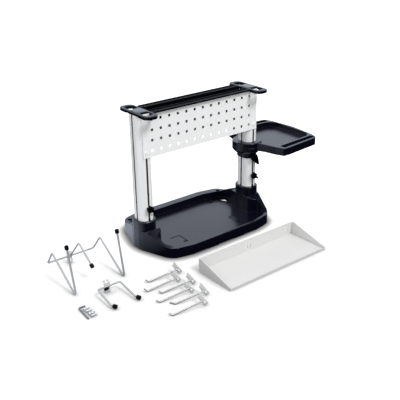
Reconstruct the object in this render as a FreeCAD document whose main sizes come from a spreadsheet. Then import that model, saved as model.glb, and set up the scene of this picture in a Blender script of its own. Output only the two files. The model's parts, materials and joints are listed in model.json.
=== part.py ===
import FreeCAD, Part
import math
import os
from types import SimpleNamespace

import Sketcher
from FreeCAD import Placement, Rotation, Vector

# Two-post tool workcenter with a perforated panel pair, a top rail, a swivelling side tray
# and its loose kit of hooks, holders and shelf. Millimetres, +Z up, -Y towards the user,
# origin at the middle of the base's underside.

SIZES = {
    # Base moulding
    "base_depth": 370, "base_shoulder": 150, "base_shoulder_drop": 17, "base_corner": 228,
    "base_end": 250, "base_end_drop": 40, "base_nose": 291, "base_nose_half": 24,
    "rim_height": 40, "front_wall": 11, "back_ledge": 32, "floor_height": 14,
    "ramp_height": 79, "ramp_foot": 143, "skirt_wall": 12, "skirt_depth": 5, "foot_notch": 4,
    "socket_wall": 9, "socket_seat": 9, "socket_floor": 10, "socket_height": 116,
    # Posts
    "post_span": 510, "post_setback": 9, "post_width": 58, "post_depth": 74, "post_radius": 26,
    "post_top": 519, "slot_width": 8, "slot_lip": 3, "slot_room": 14, "slot_depth": 10,
    "post_fit": 0.2,
    # Panels and top rail
    "panel_width": 536, "panel_height": 162, "panel_bottom": 362, "panel_sheet": 2,
    "hole_pitch": 38, "hole_side": 10, "hole_columns": 13, "hole_rows": 4, "hole_margin": 24,
    "rail_half_depth": 51, "rail_rise": 6, "rail_wall": 3, "rail_drop": 34, "rail_groove": 20,
    "rail_channel": 24,
    # End caps
    "cap_width": 57, "cap_length": 186, "cap_plate": 9, "loop_width": 36, "loop_length": 44,
    "loop_start": 28, "cap_plug": 14,
    # Side tray, its collar and the clamps
    "slide_fit": 0.3, "collar_bottom": 241, "collar_wall": 3.5, "flange_level": 262,
    "flange_plate": 8, "flange_radius": 56, "spigot_radius": 45, "hub_radius": 59.5,
    "hub_top": 309, "hub_bottom": 270.3, "tray_top": 306, "tray_bottom": 275,
    "tray_reach": 266, "tray_near": 42, "tray_near_half": 172, "tray_far_half": 156,
    "tray_side_rim": 38, "tray_end_rim": 13, "tray_deep": 20, "tray_skin": 3,
    "retainer_plate": 3, "knob_level": 165, "knob_radius": 14, "knob_thick": 14,
    "bolt_radius": 3.5, "nut_length": 20,
    # Loose kit
    "wire_radius": 2.8, "hook_radius": 2, "tip_radius": 7.2,
    "cradle_width": 190, "shelf_length": 461, "shelf_depth": 172, "shelf_height": 51,
    "shelf_sheet": 2, "kit_screw_radius": 2.5,
}

doc = FreeCAD.newDocument("Workcenter")
sheet = doc.addObject("Spreadsheet::Sheet", "Sizes")
for line, (word, amount) in enumerate(SIZES.items(), 1):
    sheet.set(f"A{line}", word)
    sheet.set(f"B{line}", str(amount))
    sheet.setAlias(f"B{line}", word)
doc.recompute()


class Dim:
    """A size that carries its number and the sheet expression that gives it."""

    def __init__(self, amount, text):
        self.amount = float(amount)
        self.text = text

    def __float__(self):
        return self.amount

    def _join(self, sign, left, right):
        left, right = as_dim(left), as_dim(right)
        number = {"+": left.amount + right.amount, "-": left.amount - right.amount,
                  "*": left.amount * right.amount}.get(sign)
        if number is None:
            number = left.amount / right.amount
        return Dim(number, f"({left.text} {sign} {right.text})")

    def __add__(self, other):
        return self._join("+", self, other)

    def __radd__(self, other):
        return self._join("+", other, self)

    def __sub__(self, other):
        return self._join("-", self, other)

    def __rsub__(self, other):
        return self._join("-", other, self)

    def __mul__(self, other):
        return self._join("*", self, other)

    def __rmul__(self, other):
        return self._join("*", other, self)

    def __truediv__(self, other):
        return self._join("/", self, other)

    def __neg__(self):
        return self._join("*", -1, self)


def as_dim(number):
    return number if isinstance(number, Dim) else Dim(number, f"{float(number):.6g}")


S = SimpleNamespace(**{word: Dim(amount, "Sizes." + word) for word, amount in SIZES.items()})
NODES = []
PLANES = {"XY": (Rotation(), "z"), "XZ": (Rotation(Vector(1, 0, 0), 90), "y"),
          "YZ": (Rotation(Vector(1, 1, 1), 120), "x")}
AXES = {"X": Rotation(Vector(0, 1, 0), 90), "Y": Rotation(Vector(1, 0, 0), -90), "Z": Rotation()}
counter = {}


# Modelling helpers

def fresh(name):
    counter[name] = counter.get(name, 0) + 1
    return f"{name}_{counter[name]}"


def bind(thing, field, size):
    thing.setExpression(field, as_dim(size).text)


def place(thing, x=0, y=0, z=0):
    for axis, size in zip("xyz", (x, y, z)):
        bind(thing, f"Placement.Base.{axis}", size)


def sketch(name, loops, plane="XY", level=0):
    """Closed outlines of straight sides, or circles given as (x, y, radius)."""
    drawing = doc.addObject("Sketcher::SketchObject", fresh(name + "_outline"))
    rotation, normal = PLANES[plane]
    drawing.Placement = Placement(Vector(), rotation)
    bind(drawing, f"Placement.Base.{normal}", level)
    for loop in loops:
        if isinstance(loop[0], tuple):
            draw_polygon(drawing, loop)
        else:
            draw_circle(drawing, *loop)
    return drawing


def hold_point(drawing, index, point, x, y):
    for kind, size in (("DistanceX", x), ("DistanceY", y)):
        number = drawing.addConstraint(Sketcher.Constraint(kind, -1, 1, index, point, float(size)))
        drawing.setExpression(f"Constraints[{number}]", as_dim(size).text)


def draw_polygon(drawing, corners):
    spots = [Vector(float(c[0]), float(c[1])) for c in corners]
    first = drawing.GeometryCount
    for start, end in zip(spots, spots[1:] + spots[:1]):
        drawing.addGeometry(Part.LineSegment(start, end))
    for number, corner in enumerate(corners):
        before = first + (number - 1) % len(corners)
        drawing.addConstraint(Sketcher.Constraint("Coincident", before, 2, first + number, 1))
        hold_point(drawing, first + number, 1, corner[0], corner[1])


def draw_circle(drawing, x, y, radius):
    circle = Part.Circle(Vector(float(x), float(y)), Vector(0, 0, 1), float(radius))
    index = drawing.addGeometry(circle)
    hold_point(drawing, index, 3, x, y)
    number = drawing.addConstraint(Sketcher.Constraint("Radius", index, float(radius)))
    drawing.setExpression(f"Constraints[{number}]", as_dim(radius).text)


def prism(name, corners, level, length, plane="XY", centred=False, holes=()):
    """Outline with corners (x, y) or (x, y, rounding), pushed along the plane's normal."""
    drawing = sketch(name, [[c[:2] for c in corners], *holes], plane, level)
    push = doc.addObject("Part::Extrusion", fresh(name + "_push"))
    push.Base = drawing
    push.DirMode = "Normal"
    push.Solid = True
    push.Symmetric = centred
    bind(push, "LengthFwd", length)
    rounds = [(drawing, corner) for corner in corners if len(corner) > 2 and float(corner[2]) > 0]
    if not rounds:
        return push
    doc.recompute()
    return round_edges(name, push, [(spot_test(plane, corner), corner[2]) for _, corner in rounds])


def spot_test(plane, corner):
    """True for the edge that runs along the plane's normal through this corner."""
    picks = {"XY": ("x", "y"), "XZ": ("x", "z"), "YZ": ("y", "z")}[plane]

    def test(edge):
        ends = [vertex.Point for vertex in edge.Vertexes]
        return len(ends) == 2 and all(
            abs(getattr(end, picks[0]) - float(corner[0])) < 1e-3
            and abs(getattr(end, picks[1]) - float(corner[1])) < 1e-3 for end in ends)
    return test


def round_edges(name, base, rules, kind="Part::Fillet"):
    """Round (or chamfer) the edges that pass a test, each with its own radius."""
    doc.recompute()
    rounded = doc.addObject(kind, fresh(name + "_round"))
    rounded.Base = base
    chosen = []
    for number, edge in enumerate(base.Shape.Edges, 1):
        for test, radius in rules:
            if test(edge):
                chosen.append((number, float(radius), float(radius)))
                break
    if not chosen:
        raise RuntimeError("no edge to round on " + name)
    rounded.Edges = chosen
    return rounded


def level_test(level, inside=None):
    """True for an edge that lies flat at this height, and in a region if one is given."""
    def test(edge):
        box = edge.BoundBox
        flat = abs(box.ZMin - float(level)) < 1e-3 and abs(box.ZMax - float(level)) < 1e-3
        return flat and (inside is None or inside(edge.CenterOfMass))
    return test


def cylinder(name, radius, length, x=0, y=0, z=0, along="Z"):
    body = doc.addObject("Part::Cylinder", fresh(name + "_round"))
    body.Placement = Placement(Vector(), AXES[along])
    bind(body, "Radius", radius)
    bind(body, "Height", length)
    place(body, x, y, z)
    return body


def cone(name, bottom, top, length, x=0, y=0, z=0, along="Z"):
    body = doc.addObject("Part::Cone", fresh(name + "_cone"))
    body.Placement = Placement(Vector(), AXES[along])
    bind(body, "Radius1", bottom)
    bind(body, "Radius2", top)
    bind(body, "Height", length)
    place(body, x, y, z)
    return body


def ball(name, radius, x, y, z):
    body = doc.addObject("Part::Sphere", fresh(name + "_ball"))
    bind(body, "Radius", radius)
    place(body, x, y, z)
    return body


def cuboid(name, length, width, height, x, y, z):
    body = doc.addObject("Part::Box", fresh(name + "_box"))
    bind(body, "Length", length)
    bind(body, "Width", width)
    bind(body, "Height", height)
    place(body, x, y, z)
    return body


def fuse(name, shapes):
    joined = doc.addObject("Part::MultiFuse", fresh(name + "_fuse"))
    joined.Shapes = shapes
    joined.Refine = True
    return joined


def cut(name, base, *tools):
    """Cuts tools that stay clear of each other in one step."""
    result = doc.addObject("Part::Cut", fresh(name + "_cut"))
    result.Base = base
    result.Tool = tools[0] if len(tools) == 1 else group(name + "_tools", list(tools))
    return result


def common(name, *shapes):
    shared = doc.addObject("Part::MultiCommon", fresh(name + "_common"))
    shared.Shapes = list(shapes)
    return shared


def group(name, shapes):
    gathered = doc.addObject("Part::Compound", fresh(name + "_group"))
    gathered.Links = shapes
    return gathered


def node(name, thing):
    thing.Label = name
    NODES.append(thing)
    return thing


def mirrored(corners):
    """A right-hand half outline completed with its mirror image about X = 0."""
    return corners + [(-c[0], *c[1:]) for c in reversed(corners)]


def wire_run(name, points, radius, bend, chords=3, sides=0):
    """Wire through the points; each inner bend has one radius and is a few mitred chords."""
    spots = [Vector(*[float(number) for number in point]) for point in points]
    line = [spots[0]]
    for before, corner, after in zip(spots, spots[1:], spots[2:]):
        into = (corner - before).normalize()
        out = (after - corner).normalize()
        turn = into.getAngle(out)
        reach = float(bend) * math.tan(turn / 2)
        inward = (out - into).normalize()
        centre = corner + inward * (float(bend) / math.cos(turn / 2))
        enter = corner - into * reach - centre
        leave = corner + out * reach - centre
        for step in range(chords + 1):
            share = step / chords
            first = math.sin((1 - share) * turn) / math.sin(turn)
            last = math.sin(share * turn) / math.sin(turn)
            line.append(centre + enter * first + leave * last)
    line.append(spots[-1])
    path = Part.makePolygon(line)
    along = (line[1] - line[0]).normalize()
    ring = Part.Wire(Part.Circle(line[0], along, float(radius)).toShape())
    if sides:
        start = ring.Edges[0].valueAt(0) - line[0]
        corners = [line[0] + Rotation(along, 360 / sides * step).multVec(start)
                   for step in range(sides)]
        ring = Part.makePolygon([*corners, corners[0]])
    tube = doc.addObject("Part::Feature", fresh(name + "_wire"))
    tube.Shape = path.makePipeShell([ring], True, False, 1)
    return tube


# Shared lines

post_x = S.post_span / 2
post_y = -S.post_setback
post_face = S.post_depth / 2
post_side = S.post_width / 2
panel_face = post_face + S.panel_sheet


def oval(cx, cy, grow=0):
    """The post's section as four corners, grown all round."""
    half_x = post_side + grow
    half_y = post_face + grow
    turn = S.post_radius + grow
    return [(cx - half_x, cy - half_y, turn), (cx + half_x, cy - half_y, turn),
            (cx + half_x, cy + half_y, turn), (cx - half_x, cy + half_y, turn)]


def slot_section(cx, cy, across, side, grow=0):
    """A T-slot's section: its mouth opens at the post's face on one side."""
    face = (post_side if across == "X" else post_face) + 1
    mouth = S.slot_width / 2 + grow
    room = S.slot_room / 2 + grow
    lip = face - 1 - S.slot_lip + grow
    deep = face - 1 - S.slot_depth - grow
    rows = [(face, -mouth), (face, mouth), (lip, mouth), (lip, room), (deep, room),
            (deep, -room), (lip, -room), (lip, -mouth)]
    if across == "X":
        return [(cx + side * far, cy + off) for far, off in rows]
    return [(cx + off, cy + side * far) for far, off in rows]


# Base

def base_outline():
    front = -S.base_depth / 2
    back = S.base_depth / 2
    return mirrored([
        (S.base_shoulder, front, 120),
        (S.base_corner, front + S.base_shoulder_drop, 40),
        (S.base_end, front + S.base_end_drop, 40),
        (S.base_nose, post_y - S.base_nose_half, 60),
        (S.base_nose, post_y + S.base_nose_half, 60),
        (S.base_end, back - S.base_end_drop, 40),
        (S.base_corner, back - S.base_shoulder_drop, 40),
        (S.base_shoulder, back, 120)])


def base_room():
    """The hollow that tools and cases stand in."""
    front = -S.base_depth / 2 + S.front_wall
    back = S.base_depth / 2 - S.back_ledge
    socket_in = post_x - post_side - S.socket_wall
    side = S.socket_wall + post_face
    return mirrored([
        (S.base_shoulder, front, 100),
        (S.base_corner - 12, front + S.base_shoulder_drop - 2, 30),
        (S.base_end - 4, front + S.base_end_drop + 6, 16),
        (S.base_end + 2, post_y - side - 30, 12),
        (socket_in, post_y - side - 8, 8),
        (socket_in, post_y + side + 8, 8),
        (S.base_end + 2, post_y + side + 30, 12),
        (S.base_end - 4, back - S.base_end_drop + 2, 16),
        (S.base_corner - 12, back - S.base_shoulder_drop + 2, 30),
        (S.base_shoulder, back, 100)])


def case_latches():
    """L-shaped slots near the front corners that locate a case, each ending in a recess."""
    cuts = []
    wide = 4
    near = -48
    far = near - 60
    for side in (-1, 1):
        outer = [(side * 168, near), (side * 124, near), (side * 124, far), (side * 142, far),
                 (side * 142, far + 10), (side * (124 + wide), far + 10),
                 (side * (124 + wide), near - wide), (side * 168, near - wide)]
        cuts.append(prism("case_latch", outer, S.floor_height - 3, 6))
    return cuts


def base_openings(side):
    """The through opening in one back floor corner and the round hole in the ledge beside it."""
    back = S.base_depth / 2
    grip = [(side * (S.base_corner - 21), back - 83, 4), (side * (S.base_corner - 5), back - 109, 4),
            (side * (S.base_corner + 15), back - 103, 4), (side * (S.base_corner + 15), back - 72, 4),
            (side * (S.base_corner - 11), back - 51, 4), (side * (S.base_corner - 21), back - 51, 4)]
    return [prism("corner_opening", grip, -1, 40),
            cylinder("ledge_hole", 9, 30, side * (S.base_corner - 2), back - 42, S.rim_height - 26)]


def base_underside():
    """Shallow hollows between the ribs, the wells of the post screws and the gaps between feet."""
    cuts = []
    rib = 4
    reach_x = S.base_corner - S.skirt_wall - 18
    reach_y = S.base_depth / 2 - S.skirt_wall - 18
    for side in (-1, 1):
        for way in (-1, 1):
            corners = [(side * rib, way * rib), (side * reach_x, way * rib),
                       (side * reach_x, way * reach_y), (side * rib, way * reach_y)]
            cuts.append(prism("skirt_hollow", corners, -1, 1 + S.skirt_depth))
        well = [(side * (post_x - 32), post_y - 30), (side * (post_x + 24), post_y - 30),
                (side * (post_x + 24), post_y + 30), (side * (post_x - 32), post_y + 30)]
        cuts.append(prism("screw_well", well, -1, 1 + S.skirt_depth))
    for way in (-1, 1):
        edge = way * (S.base_depth / 2 + 5)
        for middle, half_gap in ((0, 38), (-120, 30), (120, 30)):
            gap = [(middle - half_gap, edge - 18), (middle + half_gap, edge - 18),
                   (middle + half_gap, edge + 18), (middle - half_gap, edge + 18)]
            cuts.append(prism("foot_gap", gap, -1, 1 + S.foot_notch))
    return cuts


def base_tray():
    block = prism("base_block", base_outline(), 0, S.ramp_height)
    half = S.base_depth / 2 + 10
    ramp = post_face + S.socket_wall
    side_view = [(-half, 0), (half, 0), (half, S.rim_height),
                 (post_y + S.ramp_foot, S.rim_height), (post_y + ramp, S.ramp_height),
                 (post_y - ramp, S.ramp_height), (post_y - S.ramp_foot, S.rim_height),
                 (-half, S.rim_height)]
    profile = prism("base_profile", side_view, 0, 2 * S.base_nose + 40, "YZ", centred=True)
    form = common("base_form", block, profile)
    form = cut("base_tray", form, prism("base_room", base_room(), S.floor_height, S.ramp_height))
    seats = [prism("socket_seat", oval(side * post_x, post_y, S.socket_wall), S.socket_seat,
                   S.ramp_height) for side in (-1, 1)]
    form = cut("base_tray", form, *seats)
    form = cut("base_tray", form, *base_underside())
    holes = [cylinder("screw_hole", 3.6, 20, side * post_x + x, post_y + y, -1)
             for side in (-1, 1) for x, y in SCREW_PORTS]
    case_rest = [(150, 104, 4), (172, 104, 4), (172, 114, 4), (150, 114, 4)]
    holes.append(prism("case_rest", case_rest, S.floor_height - 3, 6))
    form = cut("base_tray", form, *base_openings(-1), *base_openings(1), *case_latches(), *holes)
    return node("base_tray", form)


SCREW_PORTS = [(-17, -22), (17, 22)]


def socket(side, name):
    cx = side * post_x
    sleeve = prism(name, oval(cx, post_y, S.socket_wall), S.socket_seat,
                   S.socket_height - S.socket_seat)
    sleeve = round_edges(name, sleeve, [(level_test(S.socket_height), 3)], "Part::Chamfer")
    bore = prism(name, oval(cx, post_y, S.post_fit), S.socket_seat + S.socket_floor,
                 S.socket_height)
    sleeve = cut(name, sleeve, bore)
    sleeve = cut(name, sleeve, *[
        cylinder("screw_hole", 3.6, 30, cx + x, post_y + y, S.socket_seat - 5)
        for x, y in SCREW_PORTS])
    tongues = []
    half = S.slot_width / 2 - S.post_fit
    low = S.socket_height - 16
    for way in (-1, 1):
        far = post_face + S.post_fit + 1
        near = post_face - S.slot_lip
        corners = [(cx - half, post_y + way * near), (cx + half, post_y + way * near),
                   (cx + half, post_y + way * far), (cx - half, post_y + way * far)]
        tongues.append(prism("tongue", corners, low, 24))
        far = post_side + S.post_fit + 1
        near = post_side - S.slot_lip
        corners = [(cx + way * near, post_y - half), (cx + way * near, post_y + half),
                   (cx + way * far, post_y + half), (cx + way * far, post_y - half)]
        tongues.append(prism("tongue", corners, low, 20))
    return node(name, fuse(name, [sleeve, *tongues]))


def base_feet():
    feet = [cylinder("foot", 11, S.skirt_depth, side * 180, way * 120, 0)
            for side in (-1, 1) for way in (-1, 1)]
    return node("base_feet", group("base_feet", feet))


def post_screws(side, name):
    screws = []
    for x, y in SCREW_PORTS:
        head = cylinder("screw_head", 6, S.skirt_depth - 1, side * post_x + x, post_y + y, 1)
        shank = cylinder("screw_shank", 3.3, 36, side * post_x + x, post_y + y, S.skirt_depth)
        screws.append(fuse("post_screw", [head, shank]))
    return node(name, group(name, screws))


# Posts

def post(side, name):
    cx = side * post_x
    bottom = S.socket_seat + S.socket_floor
    length = S.post_top - bottom
    holes = [(cx + x, post_y + y, 3.4) for x, y in SCREW_PORTS]
    core = [(cx - 11, post_y - 16), (cx + 11, post_y - 16), (cx + 11, post_y + 16),
            (cx - 11, post_y + 16)]
    bar = prism(name, oval(cx, post_y), bottom, length, holes=[*holes, core])
    slots = [prism("slot", slot_section(cx, post_y, across, way), bottom - 1, length + 2)
             for across in ("X", "Y") for way in (-1, 1)]
    return node(name, cut(name, bar, *slots))


# Panels and rail

def body_sketch(body, name, role, loops, offset):
    """A sketch on one of the body's own planes, moved along that plane's normal."""
    drawing = body.newObject("Sketcher::SketchObject", fresh(name + "_outline"))
    plane = [feature for feature in body.Origin.OriginFeatures if feature.Role == role][0]
    drawing.AttachmentSupport = [(plane, "")]
    drawing.MapMode = "FlatFace"
    bind(drawing, ".AttachmentOffset.Base.z", offset)
    for loop in loops:
        if isinstance(loop[0], tuple):
            draw_polygon(drawing, loop)
        else:
            draw_circle(drawing, *loop)
    doc.recompute()
    return drawing


def panel(way, name):
    """One perforated sheet against the posts' front or back, square holes on a square grid."""
    body = doc.addObject("PartDesign::Body", fresh(name + "_body"))
    half = S.panel_width / 2
    far = -(post_y + way * post_face) if way < 0 else -(post_y + post_face + S.panel_sheet)
    top = S.panel_bottom + S.panel_height
    outline = [(-half, S.panel_bottom), (half, S.panel_bottom), (half, top), (-half, top)]
    screws = [(x, z, 3.2) for x in (-post_x, post_x) for z in PANEL_SCREW_LEVELS]
    drawing = body_sketch(body, name, "XZ_Plane", [outline, *screws], far)
    pad = body.newObject("PartDesign::Pad", fresh(name + "_pad"))
    pad.Profile = drawing
    bind(pad, "Length", S.panel_sheet)
    doc.recompute()
    low_x = -(S.hole_columns - 1) / 2 * S.hole_pitch
    low_z = top - S.hole_margin - (S.hole_rows - 1) * S.hole_pitch
    side = S.hole_side / 2
    first = [(low_x - side, low_z - side), (low_x + side, low_z - side),
             (low_x + side, low_z + side), (low_x - side, low_z + side)]
    drawing = body_sketch(body, name + "_hole", "XZ_Plane", [first], far)
    pocket = body.newObject("PartDesign::Pocket", fresh(name + "_pocket"))
    pocket.Profile = drawing
    pocket.Reversed = True
    bind(pocket, "Length", S.panel_sheet + 1)
    doc.recompute()
    grid = body.newObject("PartDesign::MultiTransform", fresh(name + "_grid"))
    grid.Originals = [pocket]
    steps = []
    for axis, number in (("H_Axis", S.hole_columns), ("V_Axis", S.hole_rows)):
        run = body.newObject("PartDesign::LinearPattern", fresh(name + "_run"))
        run.Direction = (drawing, [axis])
        bind(run, "Length", (number - 1) * S.hole_pitch)
        steps.append(run)
    grid.Transformations = steps
    body.Tip = grid
    bind(steps[0], "Occurrences", S.hole_columns)
    bind(steps[1], "Occurrences", S.hole_rows)
    doc.recompute()
    return node(name, body)


PANEL_SCREW_LEVELS = [S.panel_bottom + 20, S.panel_bottom + S.panel_height - 14]


def panel_screws(way, name):
    """Button-head screws through the sheet into nuts in the posts' slots."""
    screws = []
    for x in (-post_x, post_x):
        for z in PANEL_SCREW_LEVELS:
            face = post_y + way * panel_face
            if way < 0:
                head = cylinder("panel_screw", 5.5, 2.5, x, face - 2.5, z, "Y")
                shank = cylinder("panel_screw", 3, S.panel_sheet + 8, x, face, z, "Y")
            else:
                head = cylinder("panel_screw", 5.5, 2.5, x, face, z, "Y")
                shank = cylinder("panel_screw", 3, S.panel_sheet + 8, x, face - S.panel_sheet - 8,
                                 z, "Y")
            screws.append(fuse("panel_screw", [head, shank]))
    return node(name, group(name, screws))


def slot_nut(x, way, z, bore, length):
    """A T-nut that fills the slot's room, with a round hole for its screw."""
    room = S.slot_room / 2 - 0.3
    outer = post_face - S.slot_lip
    inner = post_face - S.slot_depth + 0.5
    near = post_y + way * outer
    far = post_y + way * inner
    corners = [(x - room, near), (x + room, near), (x + room, far), (x - room, far)]
    block = prism("slot_nut", corners, z - length / 2, length)
    start = post_y + way * outer if way > 0 else post_y - outer
    low = start - 20 if way > 0 else start - 10
    return cut("slot_nut", block, cylinder("nut_hole", bore, 30, x, low, z, "Y"))


def panel_nuts(way, name):
    nuts = [slot_nut(x, way, z, 3, 18) for x in (-post_x, post_x) for z in PANEL_SCREW_LEVELS]
    return node(name, group(name, nuts))


def top_rail():
    """Extruded rail on the panels' top edges: a deep middle channel between two shallow ones."""
    top = S.panel_bottom + S.panel_height
    wall = S.rail_wall
    rim = top + S.rail_rise
    plate = top + wall
    skirt = post_face - 1
    floor = top - S.rail_channel
    half = [(S.rail_groove, floor), (S.rail_groove, rim), (S.rail_groove + wall, rim),
            (S.rail_groove + wall, plate), (S.rail_half_depth - wall, plate),
            (S.rail_half_depth - wall, rim), (S.rail_half_depth, rim), (S.rail_half_depth, top),
            (skirt, top), (skirt, top - S.rail_drop), (skirt - wall, top - S.rail_drop),
            (skirt - wall, top), (S.rail_groove + wall, top), (S.rail_groove + wall, floor - wall)]
    section = [(post_y + y, z) for y, z in half]
    section = section + [(post_y - y, z) for y, z in reversed(half)]
    length = S.post_span - S.post_width - 0.6
    return node("top_rail", prism("top_rail", section, 0, length, "YZ", centred=True))


def cap(side, name):
    """Post cap with a loop at each end, plugged into the post and seated over the panels."""
    cx = side * post_x
    half_x = S.cap_width / 2
    half_y = S.cap_length / 2
    top = S.post_top + S.cap_plate
    corners = [(cx - half_x, post_y - half_y, 24), (cx + half_x, post_y - half_y, 24),
               (cx + half_x, post_y + half_y, 24), (cx - half_x, post_y + half_y, 24)]
    form = prism(name, corners, S.post_top, S.cap_plate)
    for way in (-1, 1):
        near = post_y + way * S.loop_start
        far = post_y + way * (S.loop_start + S.loop_length)
        loop = [(cx - S.loop_width / 2, near, 13), (cx + S.loop_width / 2, near, 13),
                (cx + S.loop_width / 2, far, 13), (cx - S.loop_width / 2, far, 13)]
        form = cut(name, form, prism("cap_loop", loop, S.post_top - 1, S.cap_plate + 2))
    form = round_edges(name, form, [(level_test(top), 2)], "Part::Chamfer")
    pocket = [(cx - 15, post_y - 13, 4), (cx + 15, post_y - 13, 4), (cx + 15, post_y + 13, 4),
              (cx - 15, post_y + 13, 4)]
    form = cut(name, form, prism("cap_pocket", pocket, top - 3, 5))
    plug = cuboid("cap_plug", 22 - 2 * S.post_fit, 32 - 2 * S.post_fit, S.cap_plug,
                  cx - 11 + S.post_fit, post_y - 16 + S.post_fit, S.post_top - S.cap_plug)
    form = fuse(name, [form, plug])
    panel_top = S.panel_bottom + S.panel_height
    for way in (-1, 1):
        low = post_y + (post_face - 0.3 if way > 0 else -panel_face - 0.3)
        groove = cuboid("cap_groove", S.cap_width + 10, S.panel_sheet + 0.6,
                        panel_top - S.post_top + 1.2, cx - half_x - 5, low, S.post_top - 1)
        form = cut(name, form, groove)
    return node(name, form)


# Clamps on the front slots

def clamp_bolt(side, name):
    x = side * post_x
    shank_start = post_y - (post_face - S.slot_depth + 1)
    face = post_y - post_face - S.slide_fit
    washer = cylinder("washer", 9.5, 2, x, face - 2, S.knob_level, "Y")
    front = face - 2 - S.slide_fit - S.knob_thick + 4
    shank = cylinder("shank", S.bolt_radius, shank_start - front, x, front, S.knob_level, "Y")
    return node(name, fuse(name, [washer, shank]))


def clamp_nut(side, name):
    x = side * post_x
    room = S.slot_room / 2 - S.slide_fit
    near = post_y - (post_face - S.slot_lip - S.slide_fit)
    far = post_y - (post_face - S.slot_depth + S.slide_fit)
    block = cuboid("slot_nut", 2 * room, far - near, S.nut_length, x - room, near,
                   S.knob_level - S.nut_length / 2)
    hole = cylinder("nut_hole", S.bolt_radius, 20, x, near - 5, S.knob_level, "Y")
    return node(name, cut(name, block, hole))


def knob(side, name):
    """Lobed hand knob with a short lever tail, turning on its bolt."""
    x = side * post_x
    back = post_y - post_face - 2 * S.slide_fit - 2
    front = back - S.knob_thick
    hub = cylinder(name, S.knob_radius - 3.5, S.knob_thick, x, front, S.knob_level, "Y")
    lobes = []
    for step in range(5):
        turn = math.radians(72 * step + 18)
        reach = S.knob_radius - 4
        lobes.append(cylinder("lobe", 4, S.knob_thick - 4, x + reach * math.cos(turn), front + 2,
                              S.knob_level + reach * math.sin(turn), "Y"))
    slope = math.radians(-38)
    along = Vector(math.cos(slope), 0, math.sin(slope))
    across = Vector(-math.sin(slope), 0, math.cos(slope))
    tail = []
    for far, off in ((4, -5.5), (20, -4), (25, -1.5), (25, 1.5), (20, 4), (4, 5.5)):
        spot = along * far + across * off
        tail.append((x + spot.x, S.knob_level + spot.z))
    tail = prism("tail", tail, front + 9, 6, "XZ")
    form = fuse(name, [hub, *lobes, tail])
    bore = cylinder("bore", S.bolt_radius + S.slide_fit, S.knob_thick - 3, x, front + 3.4,
                    S.knob_level, "Y")
    return node(name, cut(name, form, bore))


# Side tray and its collar

def tray_collar():
    x = post_x
    flange_top = S.flange_level + S.flange_plate
    seat = flange_top + (S.tray_top - flange_top)
    sleeve = prism("collar", oval(x, post_y, S.slide_fit + S.collar_wall), S.collar_bottom,
                   S.flange_level - S.collar_bottom)
    flare = cone("collar", S.flange_radius - 8, S.flange_radius, S.flange_plate, x, post_y,
                 S.flange_level)
    spigot = cylinder("collar", S.spigot_radius, seat - flange_top, x, post_y, flange_top)
    form = fuse("tray_collar", [sleeve, flare, spigot])
    bore = prism("collar_bore", oval(x, post_y, S.slide_fit), S.collar_bottom - 1, 90)
    form = cut("tray_collar", form, bore)
    hole = cylinder("screw_hole", S.bolt_radius + 0.2, 30, x, post_y - post_face - 20,
                    LEVER_LEVEL, "Y")
    return node("tray_collar", cut("tray_collar", form, hole))


LEVER_LEVEL = S.collar_bottom + 8


def hub_retainer():
    ring = cylinder("hub_retainer", S.spigot_radius + 5, S.retainer_plate, post_x, post_y,
                    S.tray_top)
    bore = prism("retainer_bore", oval(post_x, post_y, S.slide_fit), S.tray_top - 1, 10)
    return node("hub_retainer", cut("hub_retainer", ring, bore))


def collar_screw():
    start = post_y - (post_face - S.slot_depth + 1)
    sleeve_face = post_y - post_face - S.slide_fit - S.collar_wall
    front = sleeve_face - 9
    shank = cylinder("collar_screw", S.bolt_radius, start - front, post_x, front, LEVER_LEVEL, "Y")
    return node("collar_screw", shank)


def collar_nut():
    room = S.slot_room / 2 - S.slide_fit
    near = post_y - (post_face - S.slot_lip - S.slide_fit)
    far = post_y - (post_face - S.slot_depth + S.slide_fit)
    block = cuboid("slot_nut", 2 * room, far - near, 14, post_x - room, near, LEVER_LEVEL - 7)
    hole = cylinder("nut_hole", S.bolt_radius, 20, post_x, near - 5, LEVER_LEVEL, "Y")
    return node("collar_nut", cut("collar_nut", block, hole))


def collar_lever():
    """Broad cam lever on the collar's clamping screw, drawn out to a point at lower right."""
    back = post_y - post_face - S.slide_fit - S.collar_wall - 0.4
    arm = []
    for x, z in ((-13, 3), (-18, -3), (-12, -14), (8, -31), (21, -41), (24, -37), (19, -12),
                 (12, 5), (0, 7)):
        arm.append((post_x + x, LEVER_LEVEL + z))
    arm = prism("arm", arm, back, 9, "XZ")
    boss = cylinder("boss", 8, 12, post_x, back - 12, LEVER_LEVEL, "Y")
    form = fuse("collar_lever", [boss, arm])
    bore = cylinder("bore", S.bolt_radius + S.slide_fit, 9.5, post_x, back - 9, LEVER_LEVEL, "Y")
    return node("collar_lever", cut("collar_lever", form, bore))


def both_sides(corners):
    """Corners below the post's line completed with their mirror image across it."""
    return ([(x, post_y - y, *rest) for x, y, *rest in corners]
            + [(x, post_y + y, *rest) for x, y, *rest in reversed(corners)])


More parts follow.
